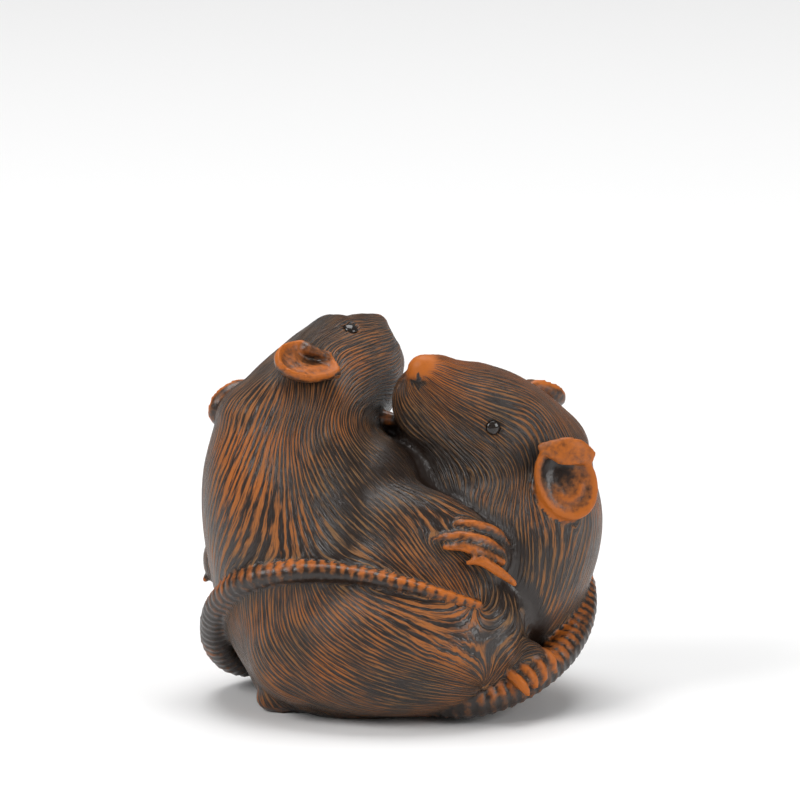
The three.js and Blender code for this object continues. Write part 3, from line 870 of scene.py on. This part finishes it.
def ranged(tree, value, low, high, to_low, to_high, soft=False):
    inputs = {"Value": value, "From Min": low, "From Max": high, "To Min": to_low, "To Max": to_high}
    kind = "SMOOTHSTEP" if soft else "LINEAR"
    return add_node(tree, "ShaderNodeMapRange", inputs, interpolation_type=kind).outputs["Result"]


def noise(tree, vector, scale, detail):
    inputs = {"Vector": vector, "Scale": scale, "Detail": detail, "Roughness": 0.6}
    return add_node(tree, "ShaderNodeTexNoise", inputs).outputs["Fac"]


strand_place = attribute(tree, "strand").outputs["Vector"]
place = add_node(tree, "ShaderNodeTexCoord", {}).outputs["Object"]
wear_and_painted_light_out = attribute(tree, "wear_and_painted_light").outputs["Fac"]
across_strands = add_node(tree, "ShaderNodeSeparateXYZ", {"Vector": strand_place}).outputs["X"]
sway = ranged(tree, noise(tree, strand_place, LINES["sway_scale"], 1), 0.0, 1.0, 0.0, LINES["sway"])
cuts = math_node(tree, "SINE", math_node(tree, "MULTIPLY_ADD", across_strands, LINES["close"], sway))
hair = noise(tree, strand_place, LINES["hair_scale"], 2)
locks = ranged(tree, noise(tree, strand_place, LINES["lock_scale"], 2), 0.0, 1.0, -LOCK_TONE, LOCK_TONE)
hair_lines = math_node(tree, "MULTIPLY_ADD", cuts, LINES["cut"], math_node(tree, "ADD", hair, locks))
bare = ranged(tree, noise(tree, place, BARE_GRAIN, 4), 0.3, 0.7, *BARE_TONES)
hairy_share = attribute(tree, "hairy").outputs["Fac"]
lines = add_node(
    tree, "ShaderNodeMix", {"Factor": hairy_share, "A": bare, "B": hair_lines}, data_type="FLOAT"
).outputs["Result"]
level = ranged(tree, wear_and_painted_light_out, 0.0, 1.0, *LIGHT_WOOD_LEVEL)
above_level = math_node(tree, "SUBTRACT", lines, level)
light_wood_share = ranged(tree, above_level, -LIGHT_WOOD_EDGE, LIGHT_WOOD_EDGE, 0.0, 1.0, soft=True)
light_wood = blend(tree, ranged(tree, wear_and_painted_light_out, ORANGE_FROM, ORANGE_TO, 0.0, 1.0), TAN_WOOD, ORANGE_WOOD)
stained = blend(tree, light_wood_share, DARK_STAIN, light_wood)
dust_patches = ranged(tree, noise(tree, place, DUST_GRAIN, 4), 0.45, 0.7, 0.0, DUST_MOST)
dusty = math_node(tree, "MULTIPLY", attribute(tree, "crease").outputs["Fac"], dust_patches)
tree.links.new(blend(tree, dusty, stained, PALE_DUST), shader.inputs["Base Color"])
tree.links.new(ranged(tree, light_wood_share, 0.0, 1.0, *ROUGHNESS), shader.inputs["Roughness"])
tree.links.new(ranged(tree, light_wood_share, 0.0, 1.0, *SPECULAR), shader.inputs["Specular IOR Level"])
bump = add_node(tree, "ShaderNodeBump", {"Height": lines} | BUMP)
tree.links.new(bump.outputs["Normal"], shader.inputs["Normal"])
carving.data.materials.clear()
carving.data.materials.append(wood)
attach(carving, "root")
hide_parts("two_rats_carving")

# The eyes
# Four beads of dark horn, polished to a gloss. Each is turned to a low dome on a short rounded peg and
# pushed into the hole drilled for it, so that only the dome stands in its ring of lid.
BEAD = {"dome": 0.5, "peg": 1.2, "sunk": 0.15}
HORN_BLACK, HORN_BROWN = (0.004, 0.004, 0.005, 1), (0.03, 0.02, 0.014, 1)
HORN_GRAIN, HORN_GLOSS = 1800, 0.1
horn = bpy.data.materials.new("dark_horn")
horn.use_nodes = True
tree = horn.node_tree
shader = tree.nodes["Principled BSDF"]
place = add_node(tree, "ShaderNodeTexCoord", {}).outputs["Object"]
streaks = add_node(tree, "ShaderNodeTexNoise", {"Vector": place, "Scale": HORN_GRAIN, "Detail": 2})
tint = add_node(tree, "ShaderNodeValToRGB", {"Fac": streaks.outputs["Fac"]})
tint.color_ramp.elements[0].color = HORN_BLACK
tint.color_ramp.elements[1].color = HORN_BROWN
tree.links.new(tint.outputs["Color"], shader.inputs["Base Color"])
shader.inputs["Roughness"].default_value = HORN_GLOSS
for name, (at, facing) in eyes.items():
    bpy.ops.mesh.primitive_uv_sphere_add(segments=24, ring_count=16)
    bead = bpy.context.object
    bead.name = name + "_bead"
    shape = get_points(bead)
    shape[:, 2] *= np.where(shape[:, 2] > 0, BEAD["dome"], BEAD["peg"])
    turn = Vector(facing).to_track_quat("Z", "Y").to_matrix()
    shape = shape * EYE["radius"] @ np.array(turn).T + at - facing * BEAD["sunk"]
    set_points(bead, shape * MILLIMETRE)
    bpy.ops.object.shade_smooth()
    bead.data.materials.clear()
    bead.data.materials.append(horn)
    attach(bead, "root")
    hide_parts(name)

# The floor and the light
# A sheet of pale paper, lit by a broad soft light from above and two smaller ones from the sides.
PAPER, DAYLIGHT = (0.9, 0.9, 0.9, 1), 0.22
bpy.ops.mesh.primitive_plane_add(size=4)
floor = bpy.context.object
floor.name = "floor"
paper = bpy.data.materials.new("white_paper")
paper.use_nodes = True
paper.node_tree.nodes["Principled BSDF"].inputs["Base Color"].default_value = PAPER
floor.data.materials.append(paper)
world = bpy.data.worlds.new("studio")
bpy.context.scene.world = world
world.use_nodes = True
world.node_tree.nodes["Background"].inputs["Color"].default_value = (1, 1, 1, 1)
world.node_tree.nodes["Background"].inputs["Strength"].default_value = DAYLIGHT


def soft_light(name, place, aim, size, watts):
    bpy.ops.object.light_add(type="AREA", location=place)
    light = bpy.context.object
    light.name = name
    light.data.size = size
    light.data.energy = watts
    light.rotation_euler = (Vector(aim) - Vector(place)).to_track_quat("-Z", "Y").to_euler()


soft_light("top_light", place=(0, 0.2, 0.8), aim=(0, 0.1, 0), size=0.6, watts=5.8)
soft_light("left_light", place=(-0.5, -0.3, 0.45), aim=(0, 0, 0.02), size=0.35, watts=3.0)
soft_light("right_light", place=(0.55, -0.35, 0.3), aim=(0, 0, 0.02), size=0.35, watts=2.2)

# The camera
# A long lens a little above the carving, as in the photograph.
AIM, ELEVATION, DISTANCE, FRAME_WIDTH = Vector((0, 0, 0.0305)), math.radians(12), 0.9, 0.080
SENSOR = 36
back = Vector((0, -math.cos(ELEVATION), math.sin(ELEVATION)))
bpy.ops.object.camera_add(location=AIM + back * DISTANCE, rotation=(math.pi / 2 - ELEVATION, 0, 0))
camera = bpy.context.object
camera.data.sensor_width = SENSOR
camera.data.lens = SENSOR * DISTANCE / FRAME_WIDTH
camera.data.clip_start, camera.data.clip_end = 0.05, 20
bpy.context.scene.camera = camera
bpy.context.scene.view_settings.view_transform = "Standard"
